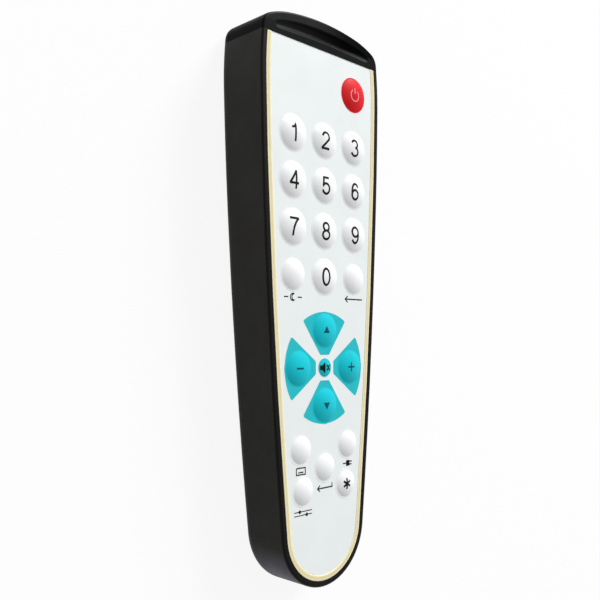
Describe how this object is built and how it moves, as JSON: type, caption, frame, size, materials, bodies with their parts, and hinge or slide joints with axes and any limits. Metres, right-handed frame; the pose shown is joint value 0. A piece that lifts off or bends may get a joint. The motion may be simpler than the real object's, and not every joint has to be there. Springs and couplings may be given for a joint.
{
  "type": "remote control",
  "caption": "Tapered handheld infrared remote control with a black case, white wipe-clean face sheet, domed sprung keys, dark window cap and a screwed battery door.",
  "frame": {"origin": "under the middle of the case, on the plane of its back face", "axes": "+X to the right across the face, +Y towards the infrared end, +Z from the back towards the face"},
  "size_m": [0.06, 0.1968, 0.0226],
  "materials": {
    "case_black": "fine satin ABS",
    "window_dark": "polished, infrared-clear",
    "sheet_white": "satin film",
    "strip_cream": "satin bead",
    "seal_rubber": "matt",
    "mat_grey": "matt silicone",
    "board_green": "solder-masked fibreglass",
    "chip_black": "moulded epoxy",
    "resonator_blue": "dipped ceramic",
    "can_aluminium": "drawn can",
    "led_clear": "clear resin",
    "cell_jacket": "plain metal jacket",
    "contact_nickel": "nickel-plated",
    "foam_grey": "foam",
    "screw_steel": "dark zinc",
    "insert_brass": "turned",
    "key_white": "satin silicone",
    "key_red": "satin silicone",
    "key_teal": "satin silicone"
  },
  "bodies": {
    "housing": {"rear_shell": "case_black", "front_bezel": "case_black", "end_cap": "window_dark", "face_sheet": "sheet_white", "border_strip": "strip_cream", "case_seal": "seal_rubber", "keypad_mat": "mat_grey", "circuit_board": "board_green", "controller_chip": "chip_black", "transistor": "chip_black", "resistors": "chip_black", "resonator": "resonator_blue", "capacitor": "can_aluminium", "infrared_leds": "led_clear", "battery_left": "cell_jacket", "battery_right": "cell_jacket", "positive_contact": "contact_nickel", "negative_contact": "contact_nickel", "bridge_contact": "contact_nickel", "case_screws": "screw_steel", "thread_insert": "insert_brass"},
    "key_power_body": {"key_power": "key_red"},
    "key_1_body": {"key_1": "key_white"},
    "key_2_body": {"key_2": "key_white"},
    "key_3_body": {"key_3": "key_white"},
    "key_4_body": {"key_4": "key_white"},
    "key_5_body": {"key_5": "key_white"},
    "key_6_body": {"key_6": "key_white"},
    "key_7_body": {"key_7": "key_white"},
    "key_8_body": {"key_8": "key_white"},
    "key_9_body": {"key_9": "key_white"},
    "key_sleep_body": {"key_sleep": "key_white"},
    "key_0_body": {"key_0": "key_white"},
    "key_previous_body": {"key_previous": "key_white"},
    "key_channel_up_body": {"key_channel_up": "key_teal"},
    "key_channel_down_body": {"key_channel_down": "key_teal"},
    "key_volume_up_body": {"key_volume_up": "key_teal"},
    "key_volume_down_body": {"key_volume_down": "key_teal"},
    "key_mute_body": {"key_mute": "key_teal"},
    "key_captions_body": {"key_captions": "key_white"},
    "key_cable_body": {"key_cable": "key_white"},
    "key_enter_body": {"key_enter": "key_white"},
    "key_setup_body": {"key_setup": "key_white"},
    "key_star_body": {"key_star": "key_white"},
    "door": {"battery_door": "case_black", "battery_pad": "foam_grey"},
    "door_screw_body": {"door_screw": "screw_steel"}
  },
  "joints": [
    {"name": "power_press", "type": "slide", "parent": "housing", "child": "key_power_body", "axis": [0, 0.0153, -0.9999], "range_m": [0, 0.0008], "stiffness_N_per_m": 600},
    {"name": "1_press", "type": "slide", "parent": "housing", "child": "key_1_body", "axis": [0, 0.0153, -0.9999], "range_m": [0, 0.0008], "stiffness_N_per_m": 600},
    {"name": "2_press", "type": "slide", "parent": "housing", "child": "key_2_body", "axis": [0, 0.0153, -0.9999], "range_m": [0, 0.0008], "stiffness_N_per_m": 600},
    {"name": "3_press", "type": "slide", "parent": "housing", "child": "key_3_body", "axis": [0, 0.0153, -0.9999], "range_m": [0, 0.0008], "stiffness_N_per_m": 600},
    {"name": "4_press", "type": "slide", "parent": "housing", "child": "key_4_body", "axis": [0, 0.0153, -0.9999], "range_m": [0, 0.0008], "stiffness_N_per_m": 600},
    {"name": "5_press", "type": "slide", "parent": "housing", "child": "key_5_body", "axis": [0, 0.0153, -0.9999], "range_m": [0, 0.0008], "stiffness_N_per_m": 600},
    {"name": "6_press", "type": "slide", "parent": "housing", "child": "key_6_body", "axis": [0, 0.0153, -0.9999], "range_m": [0, 0.0008], "stiffness_N_per_m": 600},
    {"name": "7_press", "type": "slide", "parent": "housing", "child": "key_7_body", "axis": [0, 0.0153, -0.9999], "range_m": [0, 0.0008], "stiffness_N_per_m": 600},
    {"name": "8_press", "type": "slide", "parent": "housing", "child": "key_8_body", "axis": [0, 0.0153, -0.9999], "range_m": [0, 0.0008], "stiffness_N_per_m": 600},
    {"name": "9_press", "type": "slide", "parent": "housing", "child": "key_9_body", "axis": [0, 0.0153, -0.9999], "range_m": [0, 0.0008], "stiffness_N_per_m": 600},
    {"name": "sleep_press", "type": "slide", "parent": "housing", "child": "key_sleep_body", "axis": [0, 0.0153, -0.9999], "range_m": [0, 0.0008], "stiffness_N_per_m": 600},
    {"name": "0_press", "type": "slide", "parent": "housing", "child": "key_0_body", "axis": [0, 0.0153, -0.9999], "range_m": [0, 0.0008], "stiffness_N_per_m": 600},
    {"name": "previous_press", "type": "slide", "parent": "housing", "child": "key_previous_body", "axis": [0, 0.0153, -0.9999], "range_m": [0, 0.0008], "stiffness_N_per_m": 600},
    {"name": "channel_up_press", "type": "slide", "parent": "housing", "child": "key_channel_up_body", "axis": [0, 0.0153, -0.9999], "range_m": [0, 0.0008], "stiffness_N_per_m": 600},
    {"name": "channel_down_press", "type": "slide", "parent": "housing", "child": "key_channel_down_body", "axis": [0, 0.0153, -0.9999], "range_m": [0, 0.0008], "stiffness_N_per_m": 600},
    {"name": "volume_up_press", "type": "slide", "parent": "housing", "child": "key_volume_up_body", "axis": [0, 0.0153, -0.9999], "range_m": [0, 0.0008], "stiffness_N_per_m": 600},
    {"name": "volume_down_press", "type": "slide", "parent": "housing", "child": "key_volume_down_body", "axis": [0, 0.0153, -0.9999], "range_m": [0, 0.0008], "stiffness_N_per_m": 600},
    {"name": "mute_press", "type": "slide", "parent": "housing", "child": "key_mute_body", "axis": [0, 0.0153, -0.9999], "range_m": [0, 0.0008], "stiffness_N_per_m": 600},
    {"name": "captions_press", "type": "slide", "parent": "housing", "child": "key_captions_body", "axis": [0, 0.0153, -0.9999], "range_m": [0, 0.0008], "stiffness_N_per_m": 600},
    {"name": "cable_press", "type": "slide", "parent": "housing", "child": "key_cable_body", "axis": [0, 0.0153, -0.9999], "range_m": [0, 0.0008], "stiffness_N_per_m": 600},
    {"name": "enter_press", "type": "slide", "parent": "housing", "child": "key_enter_body", "axis": [0, 0.0153, -0.9999], "range_m": [0, 0.0008], "stiffness_N_per_m": 600},
    {"name": "setup_press", "type": "slide", "parent": "housing", "child": "key_setup_body", "axis": [0, 0.0153, -0.9999], "range_m": [0, 0.0008], "stiffness_N_per_m": 600},
    {"name": "star_press", "type": "slide", "parent": "housing", "child": "key_star_body", "axis": [0, 0.0153, -0.9999], "range_m": [0, 0.0008], "stiffness_N_per_m": 600},
    {"name": "door_hinge", "type": "hinge", "parent": "housing", "child": "door", "pos_m": [0, 0.02321, 0.0009], "axis": [1, 0, 0], "range_deg": [0, 60]},
    {"name": "door_screw_turn", "type": "hinge", "parent": "door", "child": "door_screw_body", "pos_m": [0, -0.03784, 0.004], "axis": [0, 0, 1], "continuous": true}
  ]
}
